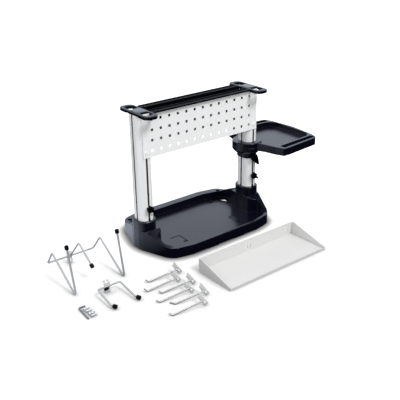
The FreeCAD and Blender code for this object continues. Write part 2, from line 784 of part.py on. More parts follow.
def side_tray():
    """Swivel tray: a hub in two tiers, a deep floor and broad grooved rims front and back."""
    x = post_x
    near = x + S.tray_near
    end = x + S.tray_reach
    wide = S.tray_near_half
    narrow = S.tray_far_half
    rim = S.tray_side_rim
    outline = both_sides([
        (x + 3, S.hub_radius - 0.5), (x + 16, wide - 82, 8), (x + 27, wide - 38, 20),
        (near, wide, 8), (near + 34, wide, 20), (end - 26, narrow, 22),
        (end - 12, narrow - 36, 14)])
    outline.insert(7, (end, post_y))
    height = S.tray_top - S.tray_bottom
    wall = prism("tray_wall", outline, S.tray_bottom, height)
    wall = round_edges("tray_wall", wall, [(level_test(S.tray_top), 1.5)], "Part::Chamfer")
    hub = cylinder("hub", S.hub_radius, S.hub_top - S.hub_bottom, x, post_y, S.hub_bottom)
    hub = round_edges("hub", hub, [(level_test(S.hub_top), 2), (level_test(S.hub_bottom), 5)],
                      "Part::Chamfer")
    form = fuse("side_tray", [wall, hub])
    skin = S.tray_skin + 1
    inner = both_sides([
        (x + 8 + skin, S.hub_radius + 10), (x + 16 + skin, wide - 84, 8),
        (x + 27 + skin, wide - 42, 14), (near + 2, wide - rim - 2, 6),
        (end - 40, narrow - rim, 22), (end - S.tray_end_rim - 4, narrow - rim - 24, 12)])
    inner.insert(6, (end - S.tray_end_rim, post_y))
    room = prism("tray_room", inner, S.tray_top - S.tray_deep, 40)
    keep = cylinder("hub_keep", S.hub_radius, 60, x, post_y, S.tray_bottom - 5)
    form = cut("side_tray", form, cut("tray_room", room, keep))
    cuts = []
    deep = 12
    for way in (-1, 1):
        y = post_y
        groove = [(near + 8, y + way * (wide - 33), 3), (near + 8, y + way * (wide - 8), 3),
                  (end - 28, y + way * (narrow - 7), 3), (end - 28, y + way * (narrow - 31), 3)]
        cuts.append(prism("rim_groove", groove, S.tray_top - deep, deep + 6))
        below = [(near + 8, y + way * (wide - 33)), (near + 8, y + way * (wide - 5)),
                 (near + 32, y + way * (wide - 5)), (end - 26, y + way * (narrow - 5)),
                 (end - 26, y + way * (narrow - 30))]
        cuts.append(prism("rim_hollow", below, S.tray_bottom - 1,
                          height - deep - S.tray_skin + 1))
    deck = both_sides([(x + 72, narrow - rim - 4), (end - 44, narrow - rim - 4)])
    cuts.append(prism("deck_hollow", deck, S.tray_bottom - 1,
                      height - S.tray_deep - S.tray_skin + 1))
    for number in range(4):
        cuts.append(cuboid("bit_hole", 4, 4, 20, x + 22 + 9 * number, post_y - 78 - 7 * number,
                           S.tray_bottom - 5))
    form = cut("side_tray", form, *cuts)
    bore = cylinder("hub_bore", S.spigot_radius + S.slide_fit, 80, x, post_y, S.hub_bottom - 10)
    recess = cylinder("hub_recess", S.spigot_radius + 5 + S.slide_fit, 20, x, post_y,
                      S.tray_top - S.slide_fit)
    hollow = fuse("hub_hollow", [bore, recess])
    band = cut("band", cylinder("band", S.hub_radius + 2, 2, x, post_y, S.hub_top - 21),
               cylinder("band", S.hub_radius - 1, 2, x, post_y, S.hub_top - 21))
    west = cuboid("band_side", 2 * S.hub_radius, 4 * S.hub_radius, 10, x - 2 * S.hub_radius - 4,
                  post_y - 2 * S.hub_radius, S.hub_top - 25)
    form = cut("side_tray", form, hollow, common("band", band, west))
    return node("side_tray", form)


# Loose kit: one hook plate and wire, repeated where the hooks lie

def solid(name, shape):
    feature = doc.addObject("Part::Feature", fresh(name + "_solid"))
    feature.Shape = shape
    return feature


def frame_at(origin, forward, up):
    """Placement whose X runs forward and whose Z is as near to up as it can be."""
    forward = Vector(*forward).normalize()
    up = Vector(*up)
    up = (up - forward * up.dot(forward)).normalize()
    left = up.cross(forward)
    return Placement(Vector(*origin), Rotation(forward, left, up, "XZY"))


def rubber_tip(name, end, towards, wire, long=14):
    """A stubby cap on a wire's end with a bevelled nose and a blind hole for the wire."""
    end = Vector(*end)
    along = (end - Vector(*towards)).normalize()
    radius = float(S.tip_radius)
    start = end - along * (long - 5)
    body = Part.makeCylinder(radius, long - 3, start, along)
    nose = Part.makeCone(radius, radius - 3, 3, start + along * (long - 3), along)
    hole = Part.makeCylinder(wire + 0.05, long - 5, start, along)
    return solid(name, body.fuse(nose).cut(hole).removeSplitter())


def slot_plate(name, wide, tall, thick=2):
    """A plate with two hooked tabs, about the wire's joint; X is its normal, Z its length."""
    plate = Part.makeBox(thick, wide, tall, Vector(0, -wide / 2, -tall * 0.5))
    tabs = []
    for z in (tall * 0.5 - 3, -tall * 0.1):
        tabs.append(Part.makeBox(7, wide * 0.4, 2, Vector(thick, -wide * 0.2, z)))
        tabs.append(Part.makeBox(2, wide * 0.4, 7, Vector(thick + 5, -wide * 0.2, z)))
    return solid(name, plate.fuse(tabs).removeSplitter())


CRADLE = {
    "path": [(-633, -126, 170), (-633, -163, -6), (-633, -8, 97), (-633, 40, 36),
             (-443, 55, 25), (-443, -3, 93), (-443, -161, -6), (-443, -128, 169)],
    "middle": [(-538, 45.6, 34.5), (-538, -24, 111), (-538, -109, 54)],
}


def cradle():
    radius = float(S.wire_radius)
    path = CRADLE["path"]
    middle = CRADLE["middle"]
    node("cradle_wire", wire_run("cradle_wire", path, radius, 9))
    node("cradle_mid_wire", wire_run("cradle_mid_wire", middle, radius, 9))
    tips = [rubber_tip("cradle_tip", path[0], path[1], radius),
            rubber_tip("cradle_tip", path[-1], path[-2], radius),
            rubber_tip("cradle_tip", middle[-1], middle[-2], radius)]
    node("cradle_tips", group("cradle_tips", tips))
    plate = slot_plate("cradle_plate", 20, 44)
    plate.Placement = frame_at((-552, 45.5 + radius + 10.4, 24.6), (1, 0.08, -0.06), (0, 0.35, 1))
    node("cradle_plate", plate)


BRACKET = [(-571, -311, 9), (-581, -296, 11), (-577, -210, 25), (-492, -210, 25),
           (-491, -299, 11), (-483, -314, 9)]


def bracket():
    radius = float(S.wire_radius) - 0.3
    node("bracket_wire", wire_run("bracket_wire", BRACKET, radius, 7))
    tips = [rubber_tip("bracket_tip", BRACKET[0], BRACKET[1], radius),
            rubber_tip("bracket_tip", BRACKET[-1], BRACKET[-2], radius)]
    node("bracket_tips", group("bracket_tips", tips))
    back = BRACKET[2][1] + radius + 0.3
    plate = Part.makeBox(30, 2.5, 32, Vector(-560, back, 0.3))
    tabs = [Part.makeBox(7, 2.5, 17, Vector(x, back, 32.3)) for x in (-560, -537)]
    tabs += [Part.makeBox(7, 7, 2.5, Vector(x, back, 46.8)) for x in (-560, -537)]
    form = plate.fuse(tabs).removeSplitter()
    node("bracket_plate", solid("bracket_plate", form))


HOOKS = [
    ((-398, -243, 3), (-286, -255, 15), (-406, -234, 10), (-286, -238, 31), (-273, -267, 2)),
    ((-436, -290, 3), (-323, -299, 15), (-444, -284, 12), (-323, -283, 31), (-309, -315, 2)),
    ((-404, -329, 3), (-292, -342, 15), (-412, -323, 10), (-292, -328, 29), (-280, -360, 2)),
    ((-440, -370, 3), (-328, -380, 15), (-448, -360, 7), (-328, -363, 22), (-316, -397, 2)),
    ((-408, -410, 3), (-300, -424, 15), (-416, -393, 3), (-300, -409, 31), (-289, -442, 2)),
    ((-452, -457, 3), (-340, -468, 15), (-460, -448, 9), (-340, -454, 29), (-329, -489, 2)),
]


def hook(number, bend, joint, tip, high, low):
    radius = float(S.hook_radius)
    bend, joint, tip, high, low = (Vector(*spot) for spot in (bend, joint, tip, high, low))
    along = (joint - bend).normalize()
    if (tip - bend).Length < 12:
        tip = bend + (tip - bend).normalize() * 15
    tip.z = max(tip.z, radius + 0.6)
    wire = wire_run("hook_wire", [tip, bend, joint - along * 0.05], radius, 4)
    node(f"hook_wire_{number}", wire)
    plate = slot_plate("hook_plate", 18, (high - low).Length * 0.92, 1.8)
    spot = frame_at(tuple(joint), tuple(along), tuple(high - low))
    plate.Placement = spot
    spot.Base.z += 0.3 - plate.Shape.BoundBox.ZMin
    plate.Placement = spot
    node(f"hook_plate_{number}", plate)


def shelf():
    middle_x = 12.5
    half = S.shelf_length / 2
    back = -292
    front = back - S.shelf_depth
    sheet_metal = S.shelf_sheet
    floor = cuboid("shelf_floor", S.shelf_length, S.shelf_depth, sheet_metal, middle_x - half,
                   front, 0)
    rear = cuboid("shelf_rear", S.shelf_length, sheet_metal, S.shelf_height, middle_x - half,
                  back - sheet_metal, 0)
    lip = cuboid("shelf_lip", S.shelf_length, sheet_metal, 9, middle_x - half, front, 0)
    ends = []
    for start in (middle_x - half, middle_x + half - sheet_metal):
        side = [(back, 0), (back, S.shelf_height), (back - 12, S.shelf_height), (front, 9),
                (front, 0)]
        ends.append(prism("shelf_end", side, start, sheet_metal, "YZ"))
    form = fuse("shelf", [floor, rear, lip, *ends])
    slots = []
    for x in (-199, 9, 24, 206):
        slots.append(cuboid("shelf_slot", 6, 12, 17, x - 3, back - 6, 13))
    return node("shelf", cut("shelf", form, *slots))


def hex_key():
    corners = [(-641, -236, 3), (-664, -234, 3), (-668, -306, 3)]
    return node("hex_key", wire_run("hex_key", corners, 2.5, 5, sides=6))


def spare_screws():
    radius = S.kit_screw_radius
    screws = []
    for x, y in ((-654, -254), (-653, -269), (-652, -286), (-652, -301)):
        head = cylinder("kit_screw", radius * 2, 4, x - 4, y, radius * 2, "X")
        shank = cylinder("kit_screw", radius, 18, x, y, radius * 2, "X")
        screws.append(fuse("kit_screw", [head, shank]))
    return node("spare_screws", group("spare_screws", screws))


base_tray()
base_feet()
socket(-1, "left_socket")
socket(1, "right_socket")
post_screws(-1, "left_post_screws")
post_screws(1, "right_post_screws")
post(-1, "left_post")
post(1, "right_post")
cap(-1, "left_cap")
cap(1, "right_cap")
top_rail()
panel(-1, "front_panel")
panel(1, "back_panel")
panel_screws(-1, "front_panel_screws")
panel_screws(1, "back_panel_screws")
panel_nuts(-1, "front_panel_nuts")
panel_nuts(1, "back_panel_nuts")
clamp_bolt(-1, "left_clamp_bolt")
clamp_nut(-1, "left_clamp_nut")
knob(-1, "left_knob")
clamp_bolt(1, "right_clamp_bolt")
clamp_nut(1, "right_clamp_nut")
knob(1, "right_knob")
tray_collar()
hub_retainer()
collar_screw()
collar_nut()
collar_lever()
side_tray()
cradle()
bracket()
for number, spots in enumerate(HOOKS, 1):
    hook(number, *spots)
shelf()
hex_key()
spare_screws()

doc.recompute()
for thing in doc.Objects:
    if "Invalid" in thing.State or "Error" in thing.State:
        raise RuntimeError(f"{thing.Name} ({thing.Label}) is {thing.State}")
os.makedirs("parts", exist_ok=True)
for thing in NODES:
    shape = thing.Shape
    if shape.isNull() or not shape.isValid() or not shape.Solids:
        raise RuntimeError(f"{thing.Label} is not a sound solid")
    shape.exportStep(f"parts/{thing.Label}.step")
    box = shape.BoundBox
    print(thing.Label, len(shape.Solids), round(shape.Volume / 1000, 1),
          [round(number, 1) for number in (box.XMin, box.XMax, box.YMin, box.YMax, box.ZMin, box.ZMax)])
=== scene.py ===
import json
import math

import bmesh
import bpy
from mathutils import Matrix, Vector


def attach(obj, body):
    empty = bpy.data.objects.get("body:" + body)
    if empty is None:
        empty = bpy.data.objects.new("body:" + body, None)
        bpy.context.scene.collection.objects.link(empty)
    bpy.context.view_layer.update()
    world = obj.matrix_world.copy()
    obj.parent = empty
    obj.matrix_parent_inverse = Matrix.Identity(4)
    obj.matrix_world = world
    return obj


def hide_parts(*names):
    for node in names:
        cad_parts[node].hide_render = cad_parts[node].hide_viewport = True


# A tool workcenter on a white ground: black moulded base, caps and side tray, satin aluminium
# posts, white perforated panels, and its loose kit laid out in front. Lengths are in metres,
# apart from the points of the loose kit, which are in millimetres.

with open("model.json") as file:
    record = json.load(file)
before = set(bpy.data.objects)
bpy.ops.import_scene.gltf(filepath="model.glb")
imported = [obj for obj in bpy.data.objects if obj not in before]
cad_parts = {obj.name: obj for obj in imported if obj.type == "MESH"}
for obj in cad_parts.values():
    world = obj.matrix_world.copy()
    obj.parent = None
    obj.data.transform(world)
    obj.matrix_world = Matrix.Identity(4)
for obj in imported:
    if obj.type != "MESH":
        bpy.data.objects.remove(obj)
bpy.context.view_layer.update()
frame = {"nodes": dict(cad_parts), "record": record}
STAND = "stand"
POST_X = 0.255
POST_Y = -0.009
FLOOR_GAP = 0.0004
MM_PER_METRE = 1000
SAME_PLACE = 1e-5


# Shader helpers

class Tree:
    """Adds and wires shader nodes in one material or group."""

    def __init__(self, tree):
        self.tree = tree
        self.step = 0

    def add(self, kind, **settings):
        """A new node, set out in rows of eight, with its properties and inputs set."""
        node = self.tree.nodes.new(kind)
        self.step += 1
        row, column = divmod(self.step, 8)
        node.location = (220 * column - 900, 200 * row - 200)
        for name, value in settings.items():
            if name in node.bl_rna.properties:
                setattr(node, name, value)
            else:
                self.feed(node.inputs[name.replace("_", " ")], value)
        return node

    def feed(self, socket, value):
        """Links an output, or the first output of a node, to the socket, or sets its value."""
        if isinstance(value, bpy.types.NodeSocket):
            self.tree.links.new(value, socket)
        elif isinstance(value, bpy.types.Node):
            self.tree.links.new(value.outputs[0], socket)
        else:
            socket.default_value = value

    def feed_all(self, node, *values):
        """Feeds the node's inputs in their order."""
        for socket, value in zip(node.inputs, values):
            self.feed(socket, value)
        return node

    def axes(self, vector):
        """The X, Y and Z of a vector."""
        return self.feed_all(self.add("ShaderNodeSeparateXYZ"), vector).outputs

    def maths(self, operation, first, second=0.0, clamp=False):
        node = self.add("ShaderNodeMath", operation=operation, use_clamp=clamp)
        return self.feed_all(node, first, second)

    def mix(self, amount, first, second):
        """Mixes two colours. The node keeps other sockets for numbers and vectors."""
        node = self.add("ShaderNodeMix", data_type="RGBA")
        factor, colour_a, colour_b, colour_out = 0, 6, 7, 2
        self.feed(node.inputs[factor], amount)
        self.feed(node.inputs[colour_a], first)
        self.feed(node.inputs[colour_b], second)
        return node.outputs[colour_out]

    def mix_shaders(self, amount, first, second):
        return self.feed_all(self.add("ShaderNodeMixShader"), amount, first, second)

    def span(self, value, low, high, to_low, to_high):
        """Maps low..high to to_low..to_high, and holds the ends beyond them."""
        return self.feed_all(self.add("ShaderNodeMapRange"), value, low, high, to_low, to_high)

    def rise(self, value, low, high):
        return self.span(value, low, high, 0.0, 1.0)

    def fall(self, value, low, high):
        return self.span(value, low, high, 1.0, 0.0)

    def noise(self, place, scale, detail, rough=0.55):
        node = self.add("ShaderNodeTexNoise", Scale=scale, Detail=detail, Roughness=rough)
        self.feed(node.inputs["Vector"], place)
        return node


def object_axes(tree):
    return tree.axes(tree.add("ShaderNodeTexCoord").outputs["Object"])


def new_group(name, inputs, outputs):
    group = bpy.data.node_groups.new(name, "ShaderNodeTree")
    for label, kind, value in inputs:
        socket = group.interface.new_socket(label, in_out="INPUT", socket_type=kind)
        if value is not None:
            socket.default_value = value
    for label, kind in outputs:
        group.interface.new_socket(label, in_out="OUTPUT", socket_type=kind)
    tree = Tree(group)
    return group, tree, tree.add("NodeGroupInput"), tree.add("NodeGroupOutput")


def surface_group():
    """Colour, roughness and height of a finish: broad mottle, fine grain and light rubbing."""
    broad_scale = 7.0
    rubbed_scale = 34.0
    rubbed_from = 0.56
    rubbed_to = 0.74
    mottle_to_roughness = 1.6
    wear_to_roughness = 0.25
    noise_middle = 0.5
    group, tree, given, made = new_group(
        "surface_finish",
        [("Place", "NodeSocketVector", None), ("Colour", "NodeSocketColor", (0.5, 0.5, 0.5, 1)),
         ("Worn Colour", "NodeSocketColor", (0.6, 0.6, 0.6, 1)),
         ("Roughness", "NodeSocketFloat", 0.4), ("Grain Scale", "NodeSocketFloat", 900.0),
         ("Mottle", "NodeSocketFloat", 0.06), ("Wear", "NodeSocketFloat", 0.1),
         ("Stretch", "NodeSocketVector", (1, 1, 1))],
        [("Colour", "NodeSocketColor"), ("Roughness", "NodeSocketFloat"),
         ("Height", "NodeSocketFloat")])
    place = tree.add("ShaderNodeVectorMath", operation="MULTIPLY")
    tree.feed_all(place, given.outputs["Place"], given.outputs["Stretch"])
    broad = tree.noise(given.outputs["Place"], broad_scale, detail=4.0)
    grain = tree.noise(place, given.outputs["Grain Scale"], detail=2.0)
    rubbed = tree.noise(place, rubbed_scale, detail=5.0, rough=0.7)
    wear = tree.maths("MULTIPLY", tree.rise(rubbed, rubbed_from, rubbed_to),
                      given.outputs["Wear"])
    spread = tree.maths("MULTIPLY", tree.maths("SUBTRACT", broad, noise_middle),
                        given.outputs["Mottle"])
    tone = tree.add("ShaderNodeHueSaturation")
    tree.feed(tone.inputs["Color"], given.outputs["Colour"])
    tree.feed(tone.inputs["Value"], tree.maths("ADD", spread, 1.0))
    colour = tree.mix(wear, tone, given.outputs["Worn Colour"])
    rough = tree.maths("MULTIPLY", spread, mottle_to_roughness)
    rough = tree.maths("ADD", rough, given.outputs["Roughness"])
    worn = tree.maths("MULTIPLY", wear, wear_to_roughness)
    tree.feed(made.inputs["Colour"], colour)
    tree.feed(made.inputs["Roughness"], tree.maths("ADD", rough, worn, clamp=True))
    tree.feed(made.inputs["Height"], grain)
    return group


SURFACE = surface_group()
SHADER = "Principled BSDF"


# Finishes

def finish(name, colour, worn, roughness, mottle, wear, metallic=0.0, grain=900.0,
           grain_depth=0.00004, stretch=(1, 1, 1), soften=0.0008, specular=0.5):
    """A material from the surface finish group, its edges rounded by the radius soften."""
    material = bpy.data.materials.new(name)
    material.use_nodes = True
    tree = Tree(material.node_tree)
    shader = material.node_tree.nodes[SHADER]
    group = tree.add("ShaderNodeGroup")
    group.node_tree = SURFACE
    tree.feed(group.inputs["Place"], tree.add("ShaderNodeTexCoord").outputs["Object"])
    group.inputs["Colour"].default_value = (*colour, 1)
    group.inputs["Worn Colour"].default_value = (*worn, 1)
    group.inputs["Roughness"].default_value = roughness
    group.inputs["Grain Scale"].default_value = grain
    group.inputs["Mottle"].default_value = mottle
    group.inputs["Wear"].default_value = wear
    group.inputs["Stretch"].default_value = stretch
    bump = tree.add("ShaderNodeBump", Strength=0.5, Distance=grain_depth)
    tree.feed(bump.inputs["Height"], group.outputs["Height"])
    if soften:
        bevel = tree.add("ShaderNodeBevel", samples=6)
        bevel.inputs["Radius"].default_value = soften
        tree.feed(bump.inputs["Normal"], bevel)
    tree.feed(shader.inputs["Base Color"], group.outputs["Colour"])
    tree.feed(shader.inputs["Roughness"], group.outputs["Roughness"])
    tree.feed(shader.inputs["Normal"], bump)
    shader.inputs["Metallic"].default_value = metallic
    shader.inputs["Specular IOR Level"].default_value = specular
    return material


def powder_coat(name, colour, worn, soften):
    return finish(name, colour, worn, roughness=0.42, mottle=0.03, wear=0.05, grain=1100.0,
                  soften=soften)


MOULDED = finish("moulded_black", (0.001, 0.0013, 0.007), (0.007, 0.008, 0.017),
                 roughness=0.24, mottle=0.06, wear=0.06, grain_depth=0.000015, soften=0.0016)
MATT_BLACK = finish("moulded_matt_black", (0.001, 0.0011, 0.0025), (0.005, 0.005, 0.007),
                    roughness=0.5, mottle=0.07, wear=0.08, grain_depth=0.00002, specular=0.07)
CAP_BLACK = finish("cap_black", (0.001, 0.0012, 0.005), (0.006, 0.007, 0.012),
                   roughness=0.26, mottle=0.06, wear=0.08, grain_depth=0.000015,
                   soften=0.0016, specular=0.2)
# Painted sheen: the cap's lit top pad is coloured grey in place of the cap's black.
CAP_PAD_PAINTED_SHEEN = finish("cap_pad_painted_sheen", (0.062, 0.07, 0.086), (0.08, 0.088, 0.1),
                 roughness=0.3, mottle=0.08, wear=0.1, grain_depth=0.000015, soften=0.0)
FOOT_RUBBER = finish("soft_rubber", (0.009, 0.009, 0.012), (0.03, 0.03, 0.034),
                     roughness=0.55, mottle=0.2, wear=0.2, grain=1400.0, soften=0.001)
TIP_RUBBER = finish("tip_rubber", (0.0015, 0.0015, 0.002), (0.006, 0.006, 0.007),
                    roughness=0.55, mottle=0.2, wear=0.15, grain=1400.0, soften=0.0,
                    specular=0.12)
ALUMINIUM = finish("satin_aluminium", (0.93, 0.935, 0.94), (0.82, 0.83, 0.845),
                   roughness=0.4, mottle=0.06, wear=0.12, metallic=0.1, grain=700.0,
                   grain_depth=0.00003, stretch=(1, 1, 0.02), soften=0.0006)
WIRE = finish("zinc_wire", (0.43, 0.43, 0.425), (0.36, 0.358, 0.35),
              roughness=0.36, mottle=0.15, wear=0.3, metallic=0.35, grain=800.0, soften=0.0)
SHEET_STEEL = finish("zinc_sheet", (0.62, 0.622, 0.625), (0.5, 0.502, 0.508),
                     roughness=0.45, mottle=0.15, wear=0.3, metallic=0.1, grain=800.0,
                     soften=0.0)
SCREW = finish("screw_steel", (0.6, 0.605, 0.61), (0.45, 0.455, 0.46),
               roughness=0.3, mottle=0.15, wear=0.3, metallic=0.6)
DARK_STEEL = finish("darkened_steel", (0.2, 0.2, 0.205), (0.28, 0.28, 0.29),
                    roughness=0.35, mottle=0.2, wear=0.3, metallic=0.5)
PANEL_WHITE = (0.88, 0.885, 0.89)
PANEL_WORN = (0.8, 0.805, 0.82)
PANEL_PAINT = powder_coat("white_powder_coat", PANEL_WHITE, PANEL_WORN, soften=0.0005)
# The back panel's paint also carries painted shade on its inner face.
BACK_PAINT_WITH_SHADE = powder_coat("back_powder_coat_with_painted_shade", PANEL_WHITE, PANEL_WORN, soften=0.0)
SHELF_PAINT = powder_coat("shelf_powder_coat", (0.63, 0.627, 0.622), (0.56, 0.558, 0.555),
                          soften=0.0005)


def coloured_by(material):
    """The material's tree, its shader, and the output that colours it so far."""
    shader = material.node_tree.nodes[SHADER]
    return Tree(material.node_tree), shader, shader.inputs["Base Color"].links[0].from_socket


def paint_slot_shade(material):
    """Paints shade, with some dust, into the posts' slots: their colour is darkened where shadow
    falls in them.
    """
    half_mouth = 0.0075
    half_wide = 0.0279
    half_deep = 0.0359
    # Painted shade: the slots' colour, darker where shadow falls in them.
    painted_slot_shade = (0.13, 0.132, 0.138, 1)
    tree, shader, plain = coloured_by(material)
    place = object_axes(tree)
    across = tree.maths("SUBTRACT", tree.maths("ABSOLUTE", place[0]), POST_X)
    across = tree.maths("ABSOLUTE", across)
    along = tree.maths("ABSOLUTE", tree.maths("SUBTRACT", place[1], POST_Y))
    front_or_back = tree.maths("MULTIPLY", tree.maths("LESS_THAN", across, half_mouth),
                               tree.maths("LESS_THAN", along, half_deep))
    left_or_right = tree.maths("MULTIPLY", tree.maths("LESS_THAN", along, half_mouth),
                               tree.maths("LESS_THAN", across, half_wide))
    inside = tree.maths("MAXIMUM", front_or_back, left_or_right)
    tree.feed(shader.inputs["Base Color"], tree.mix(inside, plain, painted_slot_shade))


def paint_inner_face_shade(material):
    """Paints shade on the back panel's face between the panels, where the rail and the front
    panel shade it: grey, darker towards the rail.
    """
    grey_below = 0.4
    black_above = 0.5
    grey = (0.3, 0.302, 0.306, 1)
    black = (0.01, 0.01, 0.012, 1)
    tree, shader, plain = coloured_by(material)
    height = object_axes(tree)[2]
    normal = tree.axes(tree.add("ShaderNodeNewGeometry").outputs["Normal"])
    faces_front = tree.maths("LESS_THAN", normal[1], -0.5)
    # Painted shade: grey on the inner face, going black towards the rail.
    dark = tree.mix(tree.rise(height, grey_below, black_above), grey, black)
    tree.feed(shader.inputs["Base Color"], tree.mix(faces_front, plain, dark))


# Painted shade in the posts' slots.
paint_slot_shade(ALUMINIUM)
# Painted shade on the back panel's inner face.
paint_inner_face_shade(BACK_PAINT_WITH_SHADE)

BY_SLOT = {"body_plastic": MOULDED, "foot_rubber": FOOT_RUBBER, "screw_steel": SCREW,
           "post_aluminium": ALUMINIUM, "panel_paint": PANEL_PAINT, "wire_steel": WIRE,
           "key_steel": DARK_STEEL}
BY_NODE = {"shelf": SHELF_PAINT, "back_panel": BACK_PAINT_WITH_SHADE, "front_panel_screws": PANEL_PAINT,
           "top_rail": MATT_BLACK, "left_knob": MATT_BLACK, "right_knob": MATT_BLACK,
           "collar_lever": MATT_BLACK, "spare_screws": SCREW}


def paint_nodes():
    """Gives each node its own finish, or else that of its slot."""
    slots = {entry["node"]: entry["material_slot"] for entry in frame["record"]["subparts"]}
    for name, thing in frame["nodes"].items():
        thing.data.materials.clear()
        thing.data.materials.append(BY_NODE.get(name, BY_SLOT[slots[name]]))


paint_nodes()


# Modelling helpers

def begin():
    """Leaves edit mode and selects nothing."""
    if bpy.context.object and bpy.context.object.mode != "OBJECT":
        bpy.ops.object.mode_set(mode="OBJECT")
    bpy.ops.object.select_all(action="DESELECT")


def take(piece):
    """Selects the piece alone and makes it the active one."""
    begin()
    piece.select_set(True)
    bpy.context.view_layer.objects.active = piece


def edit(piece):
    take(piece)
    bpy.ops.object.mode_set(mode="EDIT")


def leave_edit():
    bpy.ops.object.mode_set(mode="OBJECT")


def choose(piece, kind, test):
    """Selects the faces or edges of the piece being edited that pass the test."""
    bpy.ops.mesh.select_mode(type=kind)
    bpy.ops.mesh.select_all(action="DESELECT")
    form = bmesh.from_edit_mesh(piece.data)
    for part in form.faces if kind == "FACE" else form.edges:
        if test(part):
            part.select_set(True)
    bmesh.update_edit_mesh(piece.data)


def block(low, high):
    """A cuboid between two corners, with its place applied."""
    begin()
    low, high = Vector(low), Vector(high)
    bpy.ops.mesh.primitive_cube_add(size=1, location=(low + high) / 2, scale=high - low)
    bpy.ops.object.transform_apply(location=True, rotation=True, scale=True)
    return bpy.context.object


def upright(edge):
    first, last = (vertex.co for vertex in edge.verts)
    return abs(first.x - last.x) < SAME_PLACE and abs(first.y - last.y) < SAME_PLACE


def level_edge(height):
    """A test for the edges that lie flat at the height."""
    return lambda edge: all(abs(vertex.co.z - height) < SAME_PLACE for vertex in edge.verts)


def round_off(piece, test, width, segments):
    """Bevels the edges that pass the test."""
    edit(piece)
    choose(piece, "EDGE", test)
    bpy.ops.mesh.bevel(offset=width, segments=segments, affect="EDGES", clamp_overlap=True)
    leave_edit()


def carve(piece, tool):
    """Takes the tool's shape out of the piece and removes the tool."""
    take(piece)
    cutter = piece.modifiers.new("carve", "BOOLEAN")
    cutter.operation = "DIFFERENCE"
    cutter.solver = "EXACT"
    cutter.object = tool
    bpy.ops.object.modifier_apply(modifier=cutter.name)
    bpy.data.objects.remove(tool, do_unlink=True)


def soften_edges(piece, width, angle=35):
    """Bevels the edges that turn by more than the angle, in degrees."""
    take(piece)
    edge = piece.modifiers.new("edges", "BEVEL")
    edge.width = width
    edge.segments = 2
    edge.limit_method = "ANGLE"
    edge.angle_limit = math.radians(angle)
    bpy.ops.object.modifier_apply(modifier=edge.name)


def mend(piece):
    """Merges doubled corners and drops faces that have no area."""
    reach = 0.00002
    edit(piece)
    bpy.ops.mesh.select_all(action="SELECT")
    bpy.ops.mesh.remove_doubles(threshold=reach)
    bpy.ops.mesh.dissolve_degenerate(threshold=reach)
    bpy.ops.mesh.delete_loose(use_verts=True, use_edges=True, use_faces=True)
    leave_edit()


def joined(first, *others):
    take(first)
    for piece in others:
        piece.select_set(True)
    bpy.ops.object.join()
    return first


def twin(piece, pose):
    """A copy with its own mesh, put in place by a matrix."""
    copy = piece.copy()
    copy.data = piece.data.copy()
    bpy.context.scene.collection.objects.link(copy)
    copy.data.transform(pose)
    return copy


def settle(piece, name, material, stands_for=(), angle=35):
    """Names, paints and shades a finished piece, attaches it to the stand, and hides the parts
    it stands for.
    """
    take(piece)
    bpy.ops.object.transform_apply(location=True, rotation=True, scale=True)
    bpy.ops.object.shade_smooth_by_angle(angle=math.radians(angle))
    piece.name = name
    piece.data.materials.clear()
    piece.data.materials.append(material)
    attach(piece, STAND)
    if stands_for:
        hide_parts(*stands_for)


# End caps

CAP_LOW = 0.5165
CAP_TOP = 0.528
# How far a cutting block reaches past the cap's top and bottom.
CUT_PAST = 0.01


def cap_moulding(x, y):
    """A thin plate over the post, with a deeper rounded loop in front of it and behind."""
    half_wide = 0.0285
    half_long = 0.093
    hole_half_wide = 0.018
    hole_near = 0.028
    hole_far = 0.072
    past_sides = 0.04
    groove_wide = 0.0026
    cap = block((x - half_wide, y - half_long, CAP_LOW), (x + half_wide, y + half_long, CAP_TOP))
    round_off(cap, upright, width=0.024, segments=8)
    round_off(cap, level_edge(CAP_TOP), width=0.0018, segments=3)
    round_off(cap, level_edge(CAP_LOW), width=0.002, segments=2)
    for way in (-1, 1):
        near, far = sorted((y + way * hole_near, y + way * hole_far))
        hole = block((x - hole_half_wide, near, CAP_LOW - CUT_PAST),
                     (x + hole_half_wide, far, CAP_TOP + CUT_PAST))
        round_off(hole, upright, width=0.013, segments=6)
        carve(cap, hole)
    post_seat = block((x - past_sides, -0.0494, CAP_LOW - CUT_PAST),
                      (x + past_sides, 0.0314, 0.5191))
    carve(cap, post_seat)
    for groove_y in (-0.0483, 0.0277):
        panel_groove = block((x - past_sides, groove_y, 0.518),
                             (x + past_sides, groove_y + groove_wide, 0.5252))
        carve(cap, panel_groove)
    soften_edges(cap, width=0.0008, angle=50)
    mend(cap)
    return cap


def cap_pad(x, y):
    """The raised pad on a cap, with a small notch in one side."""
    half_wide = 0.0215
    half_long = 0.0255
    sunk = 0.0035
    top = CAP_TOP + 0.0012
    pad = block((x - half_wide, y - half_long, CAP_TOP - sunk),
                (x + half_wide, y + half_long, top))
    round_off(pad, upright, width=0.009, segments=5)
    round_off(pad, level_edge(top), width=0.0009, segments=2)
    notch = block((x - 0.03, y + 0.004, CAP_TOP), (x - 0.016, y + 0.010, CAP_TOP + CUT_PAST))
    carve(pad, notch)
    return pad


def post_cap(side):
    """The cap on the left post, for -1, or on the right post, for 1."""
    x = side * POST_X
    cap = cap_moulding(x, POST_Y)
    pad = cap_pad(x, POST_Y)
    label = "left" if side < 0 else "right"
    settle(cap, f"{label}_cap_moulding", CAP_BLACK, [f"{label}_cap"])
    # The pad gets the painted sheen: grey for the light its top catches.
    settle(pad, f"{label}_cap_pad", CAP_PAD_PAINTED_SHEEN)


# Loose kit

